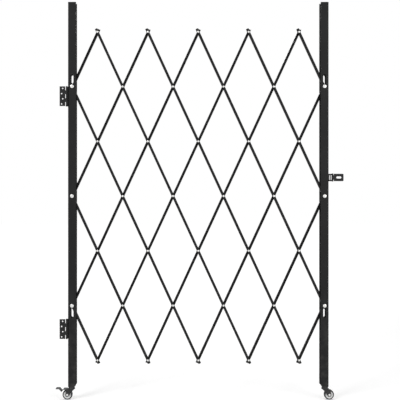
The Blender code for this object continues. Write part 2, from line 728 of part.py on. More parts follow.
def foot_plate(name, parent, location, material):
    """The plate welded under a post, with the upper seat of the swivel bearing."""
    shape = bmesh.new()
    half_width = FOOT_PLATE_WIDTH / 2
    half_depth = FOOT_PLATE_DEPTH / 2
    outline = rounded_rectangle((-half_width, -half_depth), (half_width, half_depth), FOOT_PLATE_CORNER)
    extrude(shape, outline, FOOT_PLATE_BOTTOM, FOOT_PLATE_TOP)
    thing = add(name, shape, material, parent, location)
    seat = bmesh.new()
    cylinder(seat, SEAT_RADIUS, FOOT_PLATE_BOTTOM - SEAT_HEIGHT, FOOT_PLATE_TOP - FOOT_PLATE_SHEET / 2,
             SWIVEL_SEGMENTS)
    combine(thing, seat, "UNION", material)
    bore = bmesh.new()
    cylinder(bore, KINGPIN_RADIUS + TOUCH_GAP, RACE_TOP, POST_BOTTOM + CUT_OVERRUN, PIVOT_SEGMENTS)
    combine(thing, bore, "DIFFERENCE", material)


def kingpin(name, parent, location, material):
    """The rivet that a caster swivels on."""
    top = FOOT_PLATE_TOP + TOUCH_GAP
    bottom = CROWN_UNDERSIDE - TOUCH_GAP
    profile = dome(KINGPIN_HEAD_RADIUS, KINGPIN_HEAD_HEIGHT, bottom, -1)
    profile += [(KINGPIN_RADIUS, bottom), (KINGPIN_RADIUS, top)]
    profile += dome(KINGPIN_HEAD_RADIUS, KINGPIN_HEAD_HEIGHT, top, 1)[::-1]
    shape = bmesh.new()
    turn(shape, profile, PIVOT_SEGMENTS)
    add(name, shape, material, parent, location)


def fork_side_outline():
    """Side view of a fork's cheeks, from the crown down to the axle's eye, trailing towards -X."""
    above = CROWN_TOP + CUT_OVERRUN
    shoulder = CROWN_UNDERSIDE - CHEEK_SHOULDER
    front = (CROWN_FRONT - CHEEK_FRONT_INSET, shoulder)
    reach = math.hypot(front[0] + TRAIL, shoulder - WHEEL_RADIUS)
    rise = math.degrees(math.atan2(shoulder - WHEEL_RADIUS, front[0] + TRAIL))
    tangent = rise - math.degrees(math.acos(FORK_EYE_RADIUS / reach))
    points = [(CROWN_FRONT, above), (-CROWN_BACK, above), (-CROWN_BACK, CROWN_UNDERSIDE)]
    points.append((-CROWN_BACK - CHEEK_BACK_FLARE, shoulder))
    points += arc(-TRAIL, WHEEL_RADIUS, FORK_EYE_RADIUS, 180, 360 + tangent, EYE_STEPS)
    points += [front, (CROWN_FRONT, CROWN_UNDERSIDE)]
    return points


def fork(name, parent, has_pedal, material):
    """The swivelling fork: crown, two cheeks, and the lower race of the swivel bearing."""
    inner = TREAD_WIDTH / 2 + FORK_SIDE_GAP
    outer = inner + FORK_SHEET
    low = WHEEL_RADIUS - FORK_EYE_RADIUS - CUT_OVERRUN
    section = [(-outer, low), (-outer, CROWN_TOP), (outer, CROWN_TOP), (outer, low),
               (inner, low), (inner, CROWN_UNDERSIDE), (-inner, CROWN_UNDERSIDE), (-inner, low)]
    shape = bmesh.new()
    back = -TRAIL - FORK_EYE_RADIUS - CUT_OVERRUN
    extrude(shape, section, back, CROWN_FRONT + CUT_OVERRUN, OUTLINE_ACROSS_X)
    thing = add(name, shape, material, parent)
    sides = bmesh.new()
    extrude(sides, fork_side_outline(), -outer - CUT_OVERRUN, outer + CUT_OVERRUN, OUTLINE_ACROSS_Y)
    combine(thing, sides, "INTERSECT", material)
    race = bmesh.new()
    race_bottom = CROWN_TOP - FORK_SHEET / 2
    turn(race, [(0, race_bottom), (RACE_RADIUS, race_bottom), (RACE_RADIUS, (CROWN_TOP + RACE_TOP) / 2),
                (RACE_TOP_RADIUS, RACE_TOP), (0, RACE_TOP)], SWIVEL_SEGMENTS)
    combine(thing, race, "UNION", material)
    bores = bmesh.new()
    cylinder(bores, KINGPIN_RADIUS + TOUCH_GAP, CROWN_UNDERSIDE - CUT_OVERRUN, RACE_TOP + CUT_OVERRUN,
             PIVOT_SEGMENTS)
    past = outer + CUT_OVERRUN
    at_axle = Matrix.Translation((-TRAIL, 0, WHEEL_RADIUS)) @ ALONG_Y
    cylinder(bores, AXLE_RADIUS + TOUCH_GAP, -past, past, PIVOT_SEGMENTS, at_axle)
    if has_pedal:
        at_pedal = Matrix.Translation((-PEDAL_PIN_BACK, 0, CROWN_UNDERSIDE - PEDAL_PIN_DROP)) @ ALONG_Y
        cylinder(bores, PEDAL_PIN_RADIUS + TOUCH_GAP, -past, past, PIVOT_SEGMENTS, at_pedal)
    combine(thing, bores, "DIFFERENCE", material)


def axle(name, parent, material):
    """The riveted axle of a wheel."""
    seat = TREAD_WIDTH / 2 + FORK_SIDE_GAP + FORK_SHEET + TOUCH_GAP
    profile = dome(AXLE_HEAD_RADIUS, AXLE_HEAD_HEIGHT, -seat, -1)
    profile += [(AXLE_RADIUS, -seat), (AXLE_RADIUS, seat)]
    profile += dome(AXLE_HEAD_RADIUS, AXLE_HEAD_HEIGHT, seat, 1)[::-1]
    shape = bmesh.new()
    turn(shape, profile, PIVOT_SEGMENTS, ALONG_Y)
    add(name, shape, material, parent, (-TRAIL, 0, WHEEL_RADIUS))


def hub(name, parent, material):
    """The wheel's hub: boss, thin web and rim."""
    bore = AXLE_RADIUS + TOUCH_GAP
    rim = WHEEL_RADIUS - TYRE_DEPTH - TOUCH_GAP
    half = TREAD_WIDTH / 2 - TOUCH_GAP
    web = HUB_WEB / 2
    profile = [(bore, -half), (HUB_BOSS_RADIUS, -half), (HUB_BOSS_RADIUS, -web), (rim - HUB_RIM, -web),
               (rim - HUB_RIM, -half), (rim, -half)]
    profile += [(radius, -height) for radius, height in profile[::-1]]
    shape = bmesh.new()
    turn(shape, profile, WHEEL_SEGMENTS, ALONG_Y, ring=True)
    add(name, shape, material, parent, (-TRAIL, 0, WHEEL_RADIUS))


def tyre(name, parent, material):
    """The rubber tread round the hub."""
    half = TREAD_WIDTH / 2
    inner = WHEEL_RADIUS - TYRE_DEPTH
    profile = [(inner, -half), (WHEEL_RADIUS - TYRE_ROUND, -half)]
    profile += arc(WHEEL_RADIUS - TYRE_ROUND, TYRE_ROUND - half, TYRE_ROUND, -90, 0, BEND_STEPS)[1:]
    profile += [(radius, -height) for radius, height in profile[::-1]]
    shape = bmesh.new()
    turn(shape, profile, WHEEL_SEGMENTS, ALONG_Y, ring=True)
    add(name, shape, material, parent, (-TRAIL, 0, WHEEL_RADIUS))


def offset_strip(line, thickness):
    """Outline of a strip of even thickness whose middle follows a line of points."""
    normals = []
    for first, second in zip(line, line[1:]):
        run = Vector(second) - Vector(first)
        normals.append(Vector((-run.y, run.x)).normalized())
    sides = [normals[0]]
    for first, second in zip(normals, normals[1:]):
        middle = (first + second).normalized()
        sides.append(middle / middle.dot(first))
    sides.append(normals[-1])
    half = thickness / 2
    upper = [tuple(Vector(point) + side * half) for point, side in zip(line, sides)]
    lower = [tuple(Vector(point) - side * half) for point, side in zip(line, sides)]
    return upper + lower[::-1]


def brake_pedal(parent, material):
    """The toe brake of the left caster: a bent tread with two ears on pins in the fork's cheeks."""
    ear_inside = TREAD_WIDTH / 2 + FORK_SIDE_GAP + FORK_SHEET + TOUCH_GAP
    ear_outside = ear_inside + PEDAL_SHEET
    level = PEDAL_PIN_DROP + PEDAL_RISE - CROWN_CLEARANCE
    flat_end = -PEDAL_START - PEDAL_FLAT
    dip = flat_end - PEDAL_DIP_BACK
    rise = dip - PEDAL_DIP_BACK * (1 + PEDAL_TIP_RISE / PEDAL_DIP_DEPTH)
    line = [(-PEDAL_START, level), (flat_end, level), (dip, level - PEDAL_DIP_DEPTH),
            (rise, level + PEDAL_TIP_RISE), (rise - PEDAL_TIP_LENGTH, level + PEDAL_TIP_RISE)]
    shape = bmesh.new()
    extrude(shape, offset_strip(line, PEDAL_SHEET), -ear_outside, ear_outside, OUTLINE_ACROSS_Y)
    location = (-PEDAL_PIN_BACK, 0, CROWN_UNDERSIDE - PEDAL_PIN_DROP)
    pedal = add("brake_pedal", shape, material, parent, location)
    ears = bmesh.new()
    outline = arc(0, 0, PEDAL_EAR_RADIUS, PEDAL_EAR_LEAN - 180, PEDAL_EAR_LEAN, EYE_STEPS)
    outline += [(-PEDAL_START - PEDAL_SHEET, level), (flat_end + PEDAL_SHEET, level)]
    for way in (1, -1):
        extrude(ears, outline, way * ear_inside, way * (ear_outside - TOUCH_GAP), OUTLINE_ACROSS_Y)
    combine(pedal, ears, "UNION", material)
    pins = bmesh.new()
    for way in (1, -1):
        inside = way * (ear_inside - FORK_SHEET)
        outside = way * (ear_inside + PEDAL_SHEET / 2)
        cylinder(pins, PEDAL_PIN_RADIUS, inside, outside, PIVOT_SEGMENTS, ALONG_Y)
    combine(pedal, pins, "UNION", material)


def caster(side, post_parent, post_location, turn_share, materials):
    """One caster under a post. It trails towards -X, or towards +X when it is turned half round."""
    steel, dark, hub_plastic, rubber = materials
    offset = -CASTER_OFFSET if side == "left" else CASTER_OFFSET
    foot = Vector(post_location) + Vector((offset, 0, 0))
    foot_plate(f"{side}_foot_plate", post_parent, foot, dark)
    kingpin(f"{side}_kingpin", post_parent, foot, steel)
    swivel_x = offset + (PIVOT_X if side == "left" else LOCK_PIVOT_X)
    swivel = axis(f"{side}_swivel_axis", swivel_x, MIDDLE_Y, 0, turn_share)
    has_pedal = side == "left"
    fork(f"{side}_fork", swivel, has_pedal, dark)
    axle(f"{side}_axle", swivel, steel)
    hub(f"{side}_wheel_hub", swivel, hub_plastic)
    tyre(f"{side}_tyre", swivel, rubber)
    if has_pedal:
        brake_pedal(swivel, dark)


def build():
    """The whole gate."""
    clear_scene()
    post_paint = paint("post_paint", (0.034, 0.034, 0.035), 0.45, 0.2)
    bar_paint = paint("bar_paint", (0.022, 0.022, 0.023), 0.4, 0.2)
    zinc = paint("zinc_plate", (0.78, 0.78, 0.76), 0.3, 1)
    dark_zinc = paint("dark_zinc", (0.06, 0.06, 0.06), 0.45, 0.6)
    hub_plastic = paint("hub_plastic", (0.74, 0.74, 0.73), 0.5, 0)
    rubber = paint("rubber", (0.05, 0.05, 0.05), 0.8, 0)

    swing = axis("swing_axis", 0, 0, 0)
    lock = axis("lock_post_axis", LOCK_PIVOT_X, MIDDLE_Y, MIDDLE_HEIGHT)
    left_base = (PIVOT_X, MIDDLE_Y, 0)
    right_base = (0, 0, -MIDDLE_HEIGHT)

    hinge_rivets = [(along - MIDDLE_Y, height) for along, height in hinge_rivet_places()]
    hasp_rivets = [(along - MIDDLE_Y, height) for along, height in hasp_rivet_places()]
    post("hinge_post", 1, hinge_rivets, swing, left_base, post_paint)
    post("lock_post", -1, hasp_rivets, lock, right_base, post_paint)

    for index, joint_column in enumerate(FRONT_JOINT_COLUMNS):
        front_bar(index + 1, joint_column, bar_paint, zinc)
    for index, joint_column in enumerate(BACK_JOINT_COLUMNS):
        back_bar(index + 1, joint_column, bar_paint)
    middle_pivot("left_middle_pivot", swing, (PIVOT_X, MIDDLE_Y, MIDDLE_HEIGHT), zinc)
    middle_pivot("right_middle_pivot", lock, (0, 0, 0), zinc)

    for place, height in (("upper", UPPER_HINGE_HEIGHT), ("lower", LOWER_HINGE_HEIGHT)):
        wall_leaf(f"{place}_wall_leaf", height, bar_paint)
        post_leaf(f"{place}_post_leaf", swing, height, bar_paint)
        pin(f"{place}_hinge_pin", None, (0, 0, height), LEAF_HEIGHT, dark_zinc)
        for index, (along, rise) in enumerate(screw_places(LEAF_RIVET_NEAR, LEAF_RIVET_FAR)):
            location = (BARREL_BORE, along, height + rise)
            plate_rivet(f"{place}_hinge_rivet_{index + 1}", swing, location, 1, dark_zinc)

    bracket_x = LOCK_PIVOT_X + POST_WIDTH / 2 + TOUCH_GAP
    hasp_place = Vector((bracket_x + HASP_BRACKET_REACH, 0, HASP_HEIGHT_ABOVE_FLOOR))
    hasp_bracket(lock, hasp_place - lock.location, bar_paint)
    hasp_plate(hasp_place, bar_paint)
    pin("hasp_pin", lock, hasp_place - lock.location, HASP_HEIGHT, dark_zinc)
    for index, (along, height) in enumerate(hasp_rivet_places()):
        location = Vector((bracket_x + LEAF_SHEET, along, height)) - lock.location
        plate_rivet(f"hasp_rivet_{index + 1}", lock, location, -1, dark_zinc)

    materials = (zinc, dark_zinc, hub_plastic, rubber)
    caster("left", swing, left_base, 0, materials)
    caster("right", lock, right_base, 1, materials)


build()
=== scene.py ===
"""Folding security gate, dressed for a studio photograph.

Metres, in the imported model's own frame: the hinge axis meets the floor at the origin,
+X runs to the lock post and the front faces -Y. Every new mesh is made in that frame,
so object coordinates in the materials are real metres.
"""
import json
import math

import bmesh
import bpy
from mathutils import Matrix, Vector


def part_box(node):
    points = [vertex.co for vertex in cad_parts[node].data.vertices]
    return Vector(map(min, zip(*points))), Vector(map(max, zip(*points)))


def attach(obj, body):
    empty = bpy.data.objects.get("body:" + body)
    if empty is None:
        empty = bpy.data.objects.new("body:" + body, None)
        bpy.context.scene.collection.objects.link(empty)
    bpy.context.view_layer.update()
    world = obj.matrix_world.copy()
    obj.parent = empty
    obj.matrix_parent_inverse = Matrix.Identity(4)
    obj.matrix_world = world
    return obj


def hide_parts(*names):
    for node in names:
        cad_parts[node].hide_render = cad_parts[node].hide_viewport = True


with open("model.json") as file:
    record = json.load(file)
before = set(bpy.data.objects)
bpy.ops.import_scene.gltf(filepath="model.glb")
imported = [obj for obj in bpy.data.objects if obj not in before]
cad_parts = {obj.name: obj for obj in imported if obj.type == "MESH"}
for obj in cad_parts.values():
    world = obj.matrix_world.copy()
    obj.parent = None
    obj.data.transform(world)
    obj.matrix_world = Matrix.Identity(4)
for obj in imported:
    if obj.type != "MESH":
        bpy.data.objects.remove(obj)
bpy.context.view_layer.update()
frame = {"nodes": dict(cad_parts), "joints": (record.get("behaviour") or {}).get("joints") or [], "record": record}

# Lattice, as in the CAD source
COLUMNS = 10
LEVELS = 6
MIDDLE_LEVEL = 3
BARS = 8
BAR_WIDTH = 0.0118
BAR_DEPTH = 0.008
BAR_SHEET = 0.0012
BAR_BEND = 0.002
BAR_OVERHANG = 0.016
LAYER_GAP = 0.0006
BAR_FACE = LAYER_GAP / 2 + BAR_DEPTH
SLIDING_CORNERS = {1: "lower_left", 3: "upper_left", 6: "lower_right", 8: "upper_right"}
SLIDING_LEVELS = (1, 5)

# Rivets and pivots. Heights are measured from the gate's middle plane
POST_DEPTH = 0.030
RIVET_RADIUS = 0.0025
RIVET_HEAD_RADIUS = 0.0045
RIVET_HEAD_HEIGHT = 0.002
COLLAR_RADIUS = 0.0062
PIVOT_HEAD_RADIUS = 0.0082
PIVOT_HEAD_HEIGHT = 0.0024
FLANGE_FACE = POST_DEPTH / 2
TOUCH_GAP = 0.0003
BUSH_FLANGE = 0.0012
DIMPLE_DEPTH = 0.0004
BRIM = 0.0005

# Hinge pins and the rivets through the plates
PIN_RADIUS = 0.0022
PIN_HEAD_HEIGHT = 0.0015
LEAF_RIVET_RADIUS = 0.002
LEAF_RIVET_HEAD_HEIGHT = 0.0012

# Casters
TYRE_DEPTH = 0.0054
TYRE_ROUND = 0.0036
PARTING_LINE = 0.0003
TYRE_CHAMFER = 0.0005
HUB_RIM = 0.002
HUB_WEB = 0.0135
HUB_BOSS_RADIUS = 0.0065
HUB_FILLET = 0.0012
AXLE_RADIUS = 0.003
AXLE_HEAD_HEIGHT = 0.0018
KINGPIN_RADIUS = 0.004
KINGPIN_HEAD_HEIGHT = 0.0025

# Facets and edges of the finer pieces
BEND_STEPS = 6
ROUND_STEPS = 3
FILLET_STEPS = 4
SHOULDER_STEPS = 8
DOME_STEPS = 8
FINE_SEGMENTS = 40
SMALL_SEGMENTS = 28
WHEEL_SEGMENTS = 72
SMOOTH_ANGLE = math.radians(32)
BEVEL_ANGLE = math.radians(50)
WELD_DISTANCE = 0.00002
FLAT_ANGLE = math.radians(0.6)
POST_EDGE = 0.0004
BAR_EDGE = 0.00025
LEAF_EDGE = 0.0003
STEEL_EDGE = 0.00035
BEVEL_SEGMENTS = 2

# Noise patterns in the finishes: blotches per metre, octaves, warp, and the levels they fade between
PATTERNS = {
    "paint_clouds": (9, 4, 0.3, 0.35, 0.68),
    "paint_grain": (2600, 2, 0, 0.3, 0.72),
    "paint_gloss": (55, 4, 0, 0.3, 0.7),
    "chips": (240, 4, 0.4, 0.56, 0.66),
    "rub_streaks": (900, 2, 0, 0.42, 0.62),
    "dust": (38, 5, 0, 0.35, 0.75),
    "scuffs": (1500, 2, 0.15, 0.63, 0.67),
    "drawn_lines": (2400, 2, 0.15, 0.6, 0.64),
    "scratched_patches": (21, 3, 0, 0.5, 0.62),
    "zinc_clouds": (190, 4, 0.5, 0.3, 0.7),
    "zinc_tint": (75, 3, 0, 0.45, 0.7),
    "zinc_gloss": (700, 3, 0, 0.3, 0.7),
    "steel_clouds": (120, 5, 0.4, 0.3, 0.7),
    "steel_gloss": (420, 4, 0, 0.3, 0.7),
    "nylon_flow": (95, 4, 0.8, 0.3, 0.7),
    "nylon_grime": (330, 5, 0, 0.6, 0.8),
    "nylon_gloss": (800, 3, 0, 0.3, 0.7),
    "rubber_clouds": (160, 4, 0.3, 0.3, 0.7),
    "rubber_scuffs": (900, 4, 0, 0.56, 0.72),
    "rubber_gloss": (600, 3, 0, 0.3, 0.7),
}

# Fine grains: blotches per metre, octaves, and the bump's depth in metres and strength
GRAINS = {
    "orange_peel": (620, 2, 0.00009, 0.55),
    "zinc_grain": (5200, 2, 0.00001, 0.6),
    "steel_grain": (1800, 3, 0.00003, 0.6),
    "nylon_grain": (2100, 3, 0.00003, 0.5),
    "rubber_grain": (2800, 3, 0.00004, 0.7),
}

# Other bumps: depth in metres and strength
PAINT_GRAIN_BUMP = (0.00002, 0.5)
SCUFF_BUMP = (0.00004, 0.7)
DENT_BUMP = (0.00005, 0.4)
DRAWN_LINE_BUMP = (0.00002, 0.6)
NYLON_FLOW_BUMP = (0.00005, 0.4)
DENT_SCALE = 1500

# How far a pattern is drawn out: a small share along one axis makes lines that run that way
RUB_STRETCH = (1, 1, 0.03)
SCUFF_STRETCH = (1, 1, 0.06)
DRAWN_STRETCH = (0.12, 1, 1)
TREAD_STRETCH = (1, 0.3, 1)

# Where the marks lie: from full strength to none, as distances from their middle or heights
RUB_HALF_WIDTHS = (0.0075, 0.0105)
RUB_HALF_HEIGHTS = (0.015, 0.09)
PAINT_DUST_HEIGHTS = (0.02, 0.55)
STEEL_DUST_HEIGHTS = (0.02, 0.1)
HUB_DIRT_HEIGHTS = (0.008, 0.03)
TYRE_DUST_HEIGHTS = (0, 0.02)

# The share of the dirt that stays above those heights
HUB_DIRT_ABOVE = 0.25
TYRE_DUST_ABOVE = 0.3

# Clouds in a finish: its darkest and its lightest tone, as shares of its own colour
PAINT_TONES = (0.84, 1.16)
ZINC_TONES = (0.86, 1.04)
STEEL_TONES = (0.75, 1.3)
NYLON_TONES = (0.95, 1.03)
RUBBER_TONES = (0.85, 1.15)

# Lighter marks: how much they cover, and their tone as a share of the finish's own colour
PAINT_GRAIN_MARKS = (0.5, 1.5)
SCUFF_MARKS = (0.6, 2.6)
RUB_MARKS = (0.5, 2.4)
DRAWN_LINE_MARKS = (0.5, 3)

# Dust and dirt: how much they cover, and their colour
PAINT_DUST = (0.3, (0.11, 0.105, 0.098, 1))
STEEL_DUST = (0.25, (0.14, 0.13, 0.12, 1))
TYRE_DUST = (0.45, (0.2, 0.19, 0.175, 1))
HUB_DIRT = (0.4, (0.33, 0.3, 0.27, 1))

# Bare spots and the tint of zinc
CHIPPED = (0.16, 0.155, 0.15, 1)
ZINC_TINT = (0.72, 0.70, 0.62, 1)
ZINC_TINT_SHARE = 0.35

# Roughness: how far it goes below and above a finish's own, or its two ends
PAINT_GLOSS = (0.06, 0.08)
ZINC_GLOSS = (0.07, 0.1)
STEEL_GLOSS = (0.08, 0.12)
NYLON_ENDS = (0.38, 0.52)
RUBBER_ENDS = (0.62, 0.82)

# What marks add to roughness
PAINT_DUST_ROUGHNESS = 0.16
STEEL_DUST_ROUGHNESS = 0.15
RUB_ROUGHNESS = -0.14
CHIP_ROUGHNESS = -0.1

# Light inside the nylon, and the rubber's soft sheen
NYLON_SUBSURFACE = 0.12
NYLON_SCATTER = (0.004, 0.0035, 0.003)
RUBBER_SHEEN = 0.06

# Studio: the floor and the world are lifted to white only where they are seen
FLOOR_SIZE = 40
FLOOR_COLOUR = (0.8, 0.8, 0.8, 1)
WHITE = (1, 1, 1, 1)
NEAR_LIFT = 0.3
FAR_LIFT = 0.63
NEAR_FLOOR = 1.3
FAR_FLOOR = 4.5
AMBIENT = 0.5
GATE_MIDDLE = (0.59, 0.02, 0.9)
FLOOR_MIDDLE = (0.6, 0.5, 0)

# Lamps: place, size in metres and power in watts
LAMPS = {
    "key": ((-2.2, -2.5, 3.3), 1.6, 66),
    "fill": ((3.0, -2.4, 1.7), 1.8, 26),
    "back": ((0.8, 2.4, 2.9), 1.4, 40),
}

# Camera, at the photograph's place
CAMERA_PLACE = (0.5011, -2.7952, 0.9062)
SENSOR_WIDTH = 36
LENS = 55.68
CAMERA_SHIFT = 0.0559

# A turned shape's axis is its local Z: these lay it along Y or X
ALONG_Y = Matrix.Rotation(math.radians(-90), 4, "X")
ALONG_X = Matrix.Rotation(math.radians(90), 4, "Y")
LAYS = (ALONG_X, ALONG_Y, Matrix())
AXIS_X, AXIS_Y, AXIS_Z = range(3)

# Sockets of the Mix node that take and give colours
MIX_FIRST, MIX_SECOND, MIX_RESULT = 6, 7, 2

joint_places = {joint["name"]: Vector(joint["pos_m"]) for joint in frame["joints"]}
START = joint_places["lattice_fold"]
STEP = joint_places["back_link_3_pivot"] - START
LEAN = math.atan2(STEP.x, -STEP.z)
PITCH = math.hypot(STEP.x, STEP.z)
node_slots = {part["node"]: part["material_slot"] for part in frame["record"]["subparts"]}
node_bodies = {}
for body_name, members in frame["record"]["behaviour"]["bodies"].items():
    for member in members:
        node_bodies[member] = body_name


def crossing(column, level):
    """Where two bars cross, in the gate's middle plane."""
    return START + Vector((STEP.x * column, 0, STEP.z * (level - MIDDLE_LEVEL)))


def add_node(tree, kind, settings=None, inputs=None, output=0):
    """Add a node, fill its inputs with numbers or links, and return one of its outputs."""
    made = tree.nodes.new(kind)
    for key, value in (settings or {}).items():
        setattr(made, key, value)
    for key, value in (inputs or {}).items():
        if isinstance(value, bpy.types.NodeSocket):
            tree.links.new(value, made.inputs[key])
        else:
            made.inputs[key].default_value = value
    return made.outputs[output]


def coordinates(tree, stretch=(1, 1, 1)):
    """Object coordinates in metres, stretched along the axes if need be."""
    place = add_node(tree, "ShaderNodeTexCoord", output="Object")
    if stretch == (1, 1, 1):
        return place
    return add_node(tree, "ShaderNodeMapping", None, {"Vector": place, "Scale": stretch})


def noise(tree, place, scale, detail=3, distortion=0):
    """Smooth noise of about one blotch per 1/scale metres."""
    inputs = {"Vector": place, "Scale": scale, "Detail": detail, "Distortion": distortion}
    return add_node(tree, "ShaderNodeTexNoise", None, inputs)


def levels(tree, value, low, high, start=0, stop=1):
    """Map a value from low..high to start..stop, with soft ends."""
    inputs = {"Value": value, "From Min": low, "From Max": high, "To Min": start, "To Max": stop}
    return add_node(tree, "ShaderNodeMapRange", {"interpolation_type": "SMOOTHSTEP"}, inputs)


def calculate(tree, operation, first, second=0):
    """One operation on two values."""
    return add_node(tree, "ShaderNodeMath", {"operation": operation}, {0: first, 1: second})


def blend_colour(tree, share, first, second):
    """Mix two colours."""
    inputs = {0: share, MIX_FIRST: first, MIX_SECOND: second}
    return add_node(tree, "ShaderNodeMix", {"data_type": "RGBA"}, inputs, MIX_RESULT)


def split(tree, place, axis):
    """One of a place's three coordinates."""
    return add_node(tree, "ShaderNodeSeparateXYZ", None, {"Vector": place}, axis)


def pattern(tree, name, place, start=0, stop=1, more=0):
    """One of the noise patterns, from start to stop. Its blotches grow as more goes up."""
    scale, detail, distortion, low, high = PATTERNS[name]
    blotches = noise(tree, place, scale, detail, distortion)
    return levels(tree, blotches, low - more, high - more, start, stop)


def shade_of(colour, factor):
    """A lighter or darker version of a colour."""
    return tuple(part * factor for part in colour) + (1,)


def two_tone(tree, mask, colour, tones):
    """Go from a darker to a lighter version of a colour as a mask does from none to full."""
    dark, light = tones
    return blend_colour(tree, mask, shade_of(colour, dark), shade_of(colour, light))


def cover(tree, mask, tone, share, colour):
    """Lay a share of a colour over a tone where a mask is."""
    return blend_colour(tree, calculate(tree, "MULTIPLY", mask, share), tone, colour)


def lighten(tree, mask, tone, colour, marks):
    """Lay a share of a lighter version of a colour over a tone where a mask is."""
    share, factor = marks
    return cover(tree, mask, tone, share, shade_of(colour, factor))


def gloss(tree, name, place, roughness, spread):
    """Roughness that goes below and above a finish's own by one of the noise patterns."""
    below, above = spread
    return pattern(tree, name, place, roughness - below, roughness + above)


def add_share(tree, value, mask, share):
    """Add a share of a mask to a value. A negative share takes away."""
    return calculate(tree, "ADD", value, calculate(tree, "MULTIPLY", mask, share))


def fade(tree, place, axis, ends, stop=0):
    """One up to the first of two places along an axis, and stop from the second on."""
    return levels(tree, split(tree, place, axis), *ends, 1, stop)


def bump(tree, height, size, below=None):
    """A bump of a size in depth and strength, over another one if need be."""
    distance, strength = size
    inputs = {"Height": height, "Distance": distance, "Strength": strength}
    if below is not None:
        inputs["Normal"] = below
    return add_node(tree, "ShaderNodeBump", None, inputs)


def grain_bump(tree, name, place, below=None):
    """The bump of one of the fine grains."""
    scale, detail, distance, strength = GRAINS[name]
    return bump(tree, noise(tree, place, scale, detail), (distance, strength), below)


def finish_shader(tree, shader, colour, roughness, normal):
    """Link the three textured inputs of the main shader."""
    tree.links.new(colour, shader.inputs["Base Color"])
    tree.links.new(roughness, shader.inputs["Roughness"])
    tree.links.new(normal, shader.inputs["Normal"])


def blank(name, metallic, specular):
    """A new material with its plain shader values set on the shader's own sockets."""
    material = bpy.data.materials.new(name)
    material.use_nodes = True
    tree = material.node_tree
    shader = tree.nodes["Principled BSDF"]
    shader.inputs["Metallic"].default_value = metallic
    shader.inputs["Specular IOR Level"].default_value = specular
    return material, tree, shader


def band(tree, place, axis, centre, ends):
    """One near a centre along an axis, fading out between two distances from it."""
    away = calculate(tree, "ABSOLUTE", calculate(tree, "SUBTRACT", split(tree, place, axis), centre))
    return levels(tree, away, *ends, 1, 0)


def rub_marks(tree, place):
    """Where the sliding collars rub the posts: soft upright bands of streaks."""
    bands = [band(tree, place, AXIS_X, crossing(column, MIDDLE_LEVEL).x, RUB_HALF_WIDTHS)
             for column in (0, COLUMNS)]
    across = calculate(tree, "MAXIMUM", *bands)
    bands = [band(tree, place, AXIS_Z, crossing(0, level).z, RUB_HALF_HEIGHTS)
             for level in SLIDING_LEVELS]
    along = calculate(tree, "MAXIMUM", *bands)
    streaks = pattern(tree, "rub_streaks", coordinates(tree, RUB_STRETCH))
    return calculate(tree, "MULTIPLY", calculate(tree, "MULTIPLY", across, along), streaks)


def low_dust(tree, place, heights):
    """Dust that fades out upwards from the floor."""
    return calculate(tree, "MULTIPLY", fade(tree, place, AXIS_Z, heights), pattern(tree, "dust", place))


def scratches(tree, name, stretch):
    """Thin broken scratches along one direction, in patches."""
    lines = pattern(tree, name, coordinates(tree, stretch))
    return calculate(tree, "MULTIPLY", lines, pattern(tree, "scratched_patches", coordinates(tree)))


def painted(name, colour, specular, roughness, is_post=False, worn=0):
    """Powder coat on steel: orange peel, faint clouds, dust low down, fine scratches and rub marks."""
    material, tree, shader = blank(name, metallic=0, specular=specular)
    place = coordinates(tree)
    tone = two_tone(tree, pattern(tree, "paint_clouds", place), colour, PAINT_TONES)
    grain = pattern(tree, "paint_grain", place)
    tone = lighten(tree, grain, tone, colour, PAINT_GRAIN_MARKS)
    scuffs = scratches(tree, "scuffs", SCUFF_STRETCH)
    tone = lighten(tree, scuffs, tone, colour, SCUFF_MARKS)
    dust = low_dust(tree, place, PAINT_DUST_HEIGHTS)
    tone = cover(tree, dust, tone, *PAINT_DUST)
    rough = gloss(tree, "paint_gloss", place, roughness, PAINT_GLOSS)
    rough = add_share(tree, rough, dust, PAINT_DUST_ROUGHNESS)
    if is_post:
        rubbed = rub_marks(tree, place)
        tone = lighten(tree, rubbed, tone, colour, RUB_MARKS)
        rough = add_share(tree, rough, rubbed, RUB_ROUGHNESS)
    if worn:
        chips = pattern(tree, "chips", place, more=worn)
        tone = blend_colour(tree, chips, tone, CHIPPED)
        rough = add_share(tree, rough, chips, CHIP_ROUGHNESS)
    normal = grain_bump(tree, "orange_peel", place)
    normal = bump(tree, grain, PAINT_GRAIN_BUMP, normal)
    normal = bump(tree, calculate(tree, "MULTIPLY", scuffs, -1), SCUFF_BUMP, normal)
    finish_shader(tree, shader, tone, rough, normal)
    return material


def plated(name, colour, roughness):
    """Bright zinc on tumbled rivets: small dents, clouds, a faint yellow tint and uneven gloss."""
    material, tree, shader = blank(name, metallic=1, specular=0.5)
    place = coordinates(tree)
    tone = two_tone(tree, pattern(tree, "zinc_clouds", place), colour, ZINC_TONES)
    tinted = pattern(tree, "zinc_tint", place, 0, ZINC_TINT_SHARE)
    tone = blend_colour(tree, tinted, tone, ZINC_TINT)
    rough = gloss(tree, "zinc_gloss", place, roughness, ZINC_GLOSS)
    cells = add_node(tree, "ShaderNodeTexVoronoi", None, {"Vector": place, "Scale": DENT_SCALE})
    normal = bump(tree, cells, DENT_BUMP)
    normal = grain_bump(tree, "zinc_grain", place, normal)
    finish_shader(tree, shader, tone, rough, normal)
    return material


